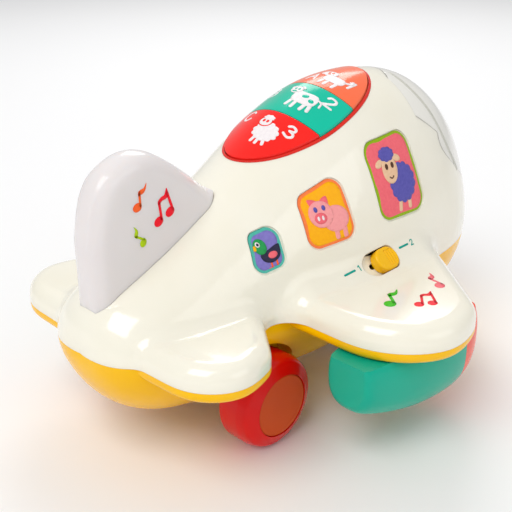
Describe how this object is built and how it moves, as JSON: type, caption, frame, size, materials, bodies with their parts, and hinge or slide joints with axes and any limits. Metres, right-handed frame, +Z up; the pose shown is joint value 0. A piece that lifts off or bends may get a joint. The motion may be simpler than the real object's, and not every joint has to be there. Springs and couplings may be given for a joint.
{
  "type": "toy airplane",
  "caption": "Toddler's electronic toy aeroplane with a stubby two-colour shell, light-up fin, push buttons, a mode slide switch and a swivelling drive turret under the nose.",
  "frame": {"origin": "on the ground, below the middle of the toy's bounding box", "axes": "+X to the nose, +Y to port, +Z up"},
  "size_m": [0.223, 0.1928, 0.1311],
  "materials": {
    "white_plastic": "cream white, glossy",
    "yellow_plastic": "saturated yellow, glossy",
    "red_plastic": "red, glossy",
    "burnt_orange_plastic": "burnt orange, satin",
    "teal_plastic": "teal, glossy",
    "coral_plastic": "coral, glossy",
    "milky_plastic": "milky translucent lens",
    "screen_plastic": "pale milky panel, glossy",
    "button_orange": "orange, glossy, white print",
    "button_teal": "teal, glossy, white print",
    "button_red": "red, glossy, white print",
    "label_film": "printed paper-faced film",
    "tread_rubber": "black soft rubber",
    "pad_rubber": "translucent silicone",
    "steel": "plain steel",
    "inner_black": "black ABS",
    "inner_white": "natural ABS",
    "board": "green circuit board",
    "cell_wrap": "plain cell sleeve"
  },
  "bodies": {
    "airframe": {"upper_shell": "white_plastic", "lower_shell": "yellow_plastic", "shell_screws": "steel", "window_rear_right": "label_film", "window_rear_left": "label_film", "window_middle_right": "label_film", "window_middle_left": "label_film", "window_front_right": "label_film", "window_front_left": "label_film", "windscreen": "screen_plastic", "tail_fin_lens": "milky_plastic", "fin_light_board": "board", "button_bezel": "red_plastic", "contact_pad_rear": "pad_rubber", "contact_pad_middle": "pad_rubber", "contact_pad_front": "pad_rubber", "button_board": "board", "mode_switch": "inner_black", "pod_screws": "steel", "engine_pod_right": "teal_plastic", "engine_pod_left": "teal_plastic", "pod_nose_right": "coral_plastic", "pod_nose_left": "coral_plastic", "rear_axle": "steel", "axle_clips": "steel", "turret_retainer": "inner_white", "battery_tray": "inner_black", "battery_cells": "cell_wrap", "battery_contacts": "steel", "main_board": "board", "speaker": "inner_black"},
    "button_rear_body": {"button_rear": "button_red"},
    "button_middle_body": {"button_middle": "button_teal"},
    "button_front_body": {"button_front": "button_orange"},
    "mode_knob_body": {"mode_knob": "yellow_plastic"},
    "wheel_left_body": {"rear_wheel_left": "red_plastic", "hub_disc_left": "burnt_orange_plastic"},
    "wheel_right_body": {"rear_wheel_right": "red_plastic", "hub_disc_right": "burnt_orange_plastic"},
    "turret_body": {"turret_drum": "inner_white", "drive_gearbox": "inner_black", "drive_motor": "steel"},
    "drive_wheels_body": {"drive_wheel_left": "tread_rubber", "drive_wheel_right": "tread_rubber", "drive_axle": "steel"},
    "battery_door_body": {"battery_door": "yellow_plastic", "door_screw": "steel"}
  },
  "joints": [
    {"name": "button_rear_press", "type": "slide", "parent": "airframe", "child": "button_rear_body", "axis": [0.342, 0, -0.9397], "range_m": [0, 0.0025], "stiffness_N_per_m": 700, "springref_m": -0.0008},
    {"name": "button_middle_press", "type": "slide", "parent": "airframe", "child": "button_middle_body", "axis": [0.342, 0, -0.9397], "range_m": [0, 0.0025], "stiffness_N_per_m": 700, "springref_m": -0.0008},
    {"name": "button_front_press", "type": "slide", "parent": "airframe", "child": "button_front_body", "axis": [0.342, 0, -0.9397], "range_m": [0, 0.0025], "stiffness_N_per_m": 700, "springref_m": -0.0008},
    {"name": "mode_slide", "type": "slide", "parent": "airframe", "child": "mode_knob_body", "axis": [-1, 0, 0], "range_m": [0, 0.0067]},
    {"name": "wheel_left_spin", "type": "hinge", "parent": "airframe", "child": "wheel_left_body", "pos_m": [-0.051, 0.036, 0.0195], "axis": [0, 1, 0], "continuous": true},
    {"name": "wheel_right_spin", "type": "hinge", "parent": "airframe", "child": "wheel_right_body", "pos_m": [-0.051, -0.036, 0.0195], "axis": [0, 1, 0], "continuous": true},
    {"name": "turret_swivel", "type": "hinge", "parent": "airframe", "child": "turret_body", "pos_m": [0.048, 0, 0.025], "axis": [0, 0, 1], "continuous": true},
    {"name": "drive_spin", "type": "hinge", "parent": "turret_body", "child": "drive_wheels_body", "pos_m": [0.048, 0, 0.011], "axis": [0, 1, 0], "continuous": true},
    {"name": "battery_door_lift_off", "type": "slide", "parent": "airframe", "child": "battery_door_body", "axis": [0, 0, -1], "range_m": [0, 0.0095]}
  ]
}
